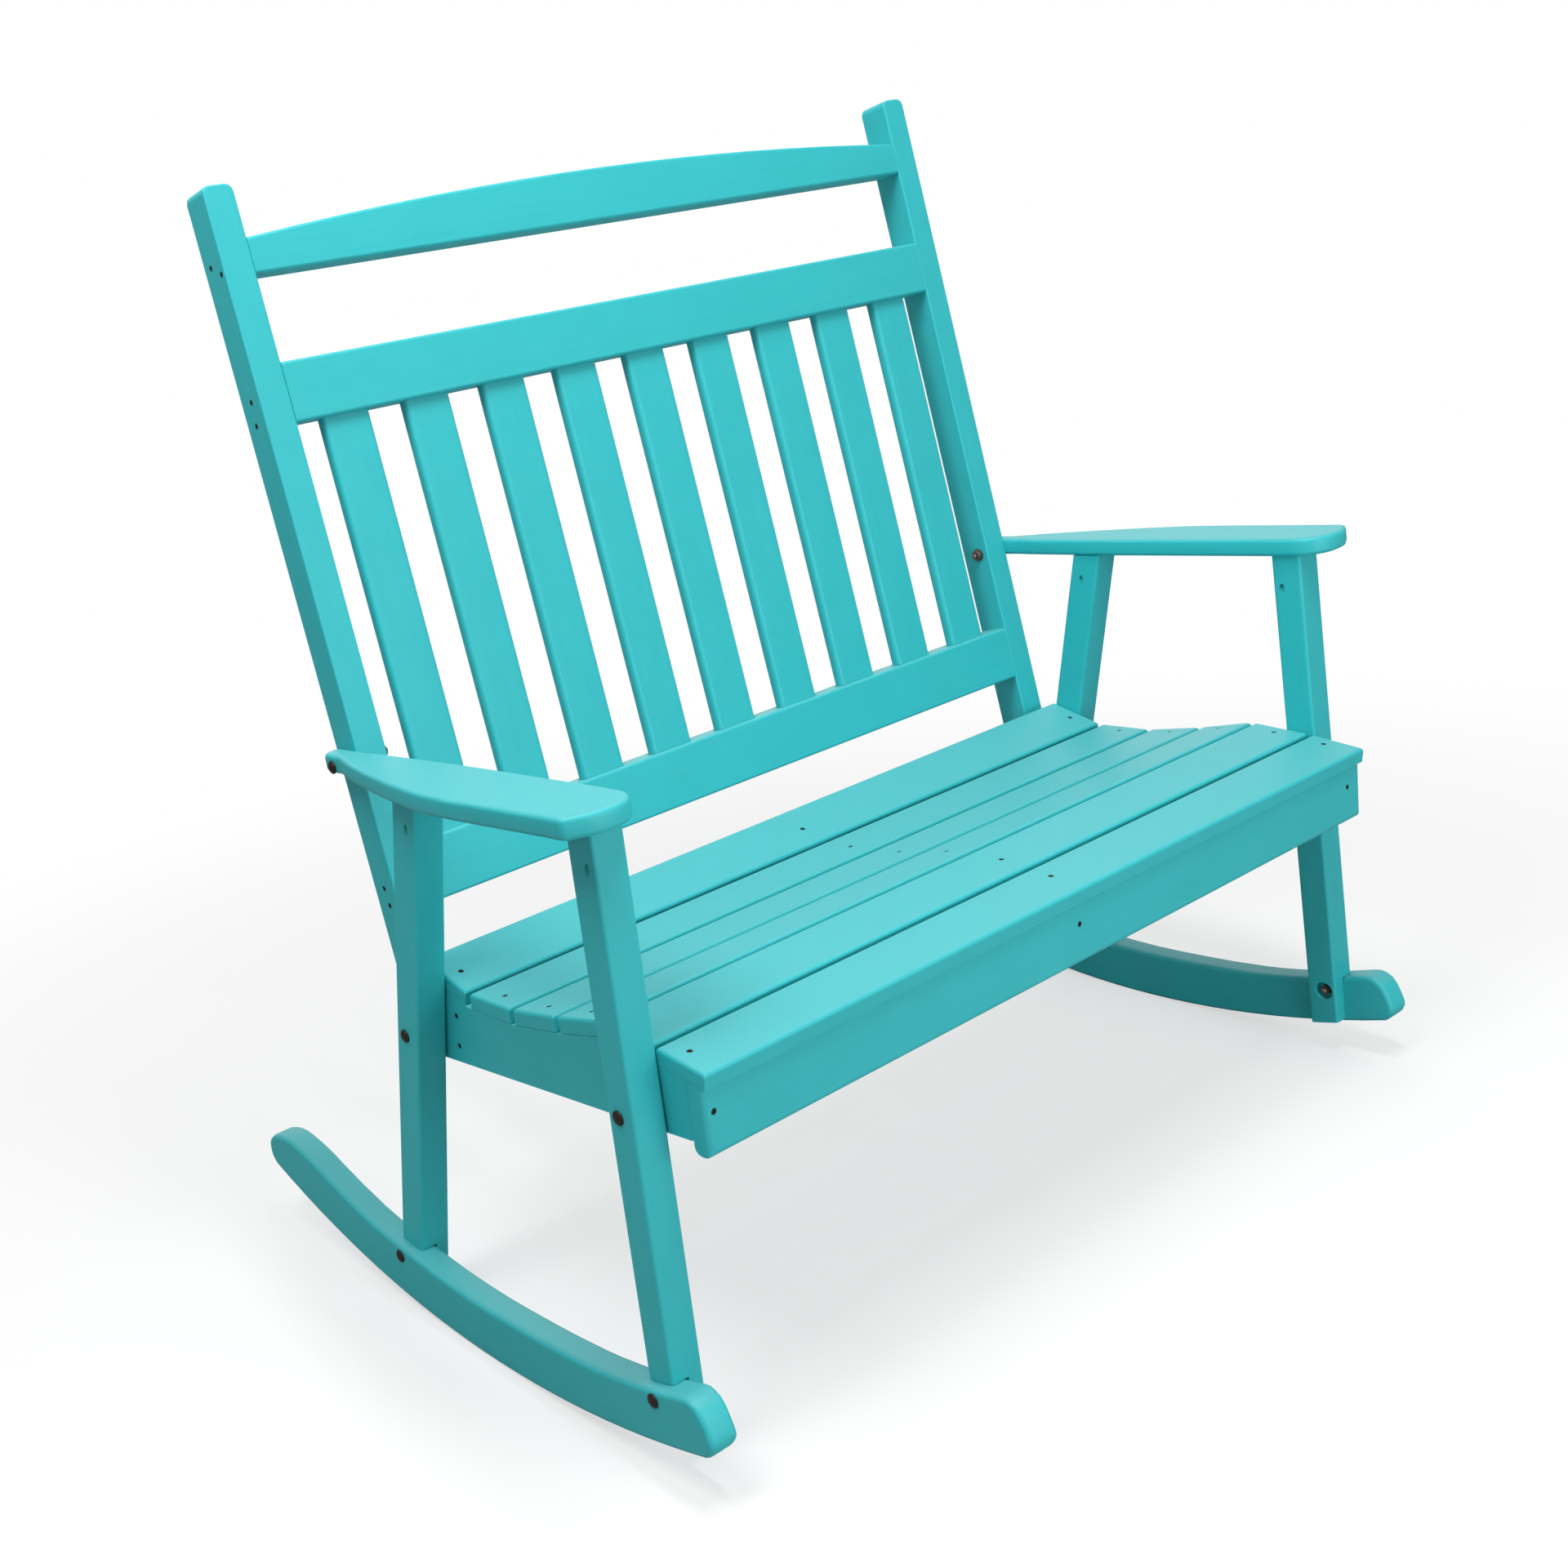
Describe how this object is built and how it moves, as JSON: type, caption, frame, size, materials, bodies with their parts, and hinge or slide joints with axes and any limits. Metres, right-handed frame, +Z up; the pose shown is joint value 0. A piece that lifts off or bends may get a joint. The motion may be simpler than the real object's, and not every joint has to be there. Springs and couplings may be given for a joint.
{
  "type": "rocking bench",
  "caption": "Rocking bench of turquoise plastic boards with a curved slatted seat, a tall slatted back and shaped arms, on curved rockers.",
  "frame": {"origin": "on the floor below the middle of the outer size, midway between the two rockers and midway between their tails and noses", "axes": "+X along the bench, to the right as seen from the front, +Y to the back, +Z up"},
  "size_m": [1.2, 0.8228, 1.2354],
  "materials": {
    "plastic_board": "turquoise recycled plastic lumber, satin with a faint grain",
    "bronze_steel": "dark bronze coated steel"
  },
  "bodies": {
    "root": {"rocker_right": "plastic_board", "rocker_left": "plastic_board", "front_leg_right": "plastic_board", "front_leg_left": "plastic_board", "rear_leg_right": "plastic_board", "rear_leg_left": "plastic_board", "armrest_right": "plastic_board", "armrest_left": "plastic_board", "back_post_right": "plastic_board", "back_post_left": "plastic_board", "seat_side_rail_right": "plastic_board", "seat_side_rail_left": "plastic_board", "seat_center_support": "plastic_board", "seat_rear_board": "plastic_board", "front_apron": "plastic_board", "seat_slat_1": "plastic_board", "seat_slat_2": "plastic_board", "seat_slat_3": "plastic_board", "seat_slat_4": "plastic_board", "seat_slat_5": "plastic_board", "seat_slat_6": "plastic_board", "crest_rail": "plastic_board", "upper_back_rail": "plastic_board", "lower_back_rail": "plastic_board", "back_slat_1": "plastic_board", "back_slat_2": "plastic_board", "back_slat_3": "plastic_board", "back_slat_4": "plastic_board", "back_slat_5": "plastic_board", "back_slat_6": "plastic_board", "back_slat_7": "plastic_board", "back_slat_8": "plastic_board", "back_slat_9": "plastic_board", "rocker_bolt_rear_right": "bronze_steel", "rocker_bolt_rear_left": "bronze_steel", "rocker_nut_rear_right": "bronze_steel", "rocker_nut_rear_left": "bronze_steel", "rocker_bolt_front_right": "bronze_steel", "rocker_bolt_front_left": "bronze_steel", "rocker_nut_front_right": "bronze_steel", "rocker_nut_front_left": "bronze_steel", "rail_bolt_rear_right": "bronze_steel", "rail_bolt_rear_left": "bronze_steel", "rail_nut_rear_right": "bronze_steel", "rail_nut_rear_left": "bronze_steel", "rail_bolt_front_right": "bronze_steel", "rail_bolt_front_left": "bronze_steel", "rail_nut_front_right": "bronze_steel", "rail_nut_front_left": "bronze_steel", "arm_bolt_right": "bronze_steel", "arm_bolt_left": "bronze_steel", "arm_nut_right": "bronze_steel", "arm_nut_left": "bronze_steel"}
  },
  "joints": []
}
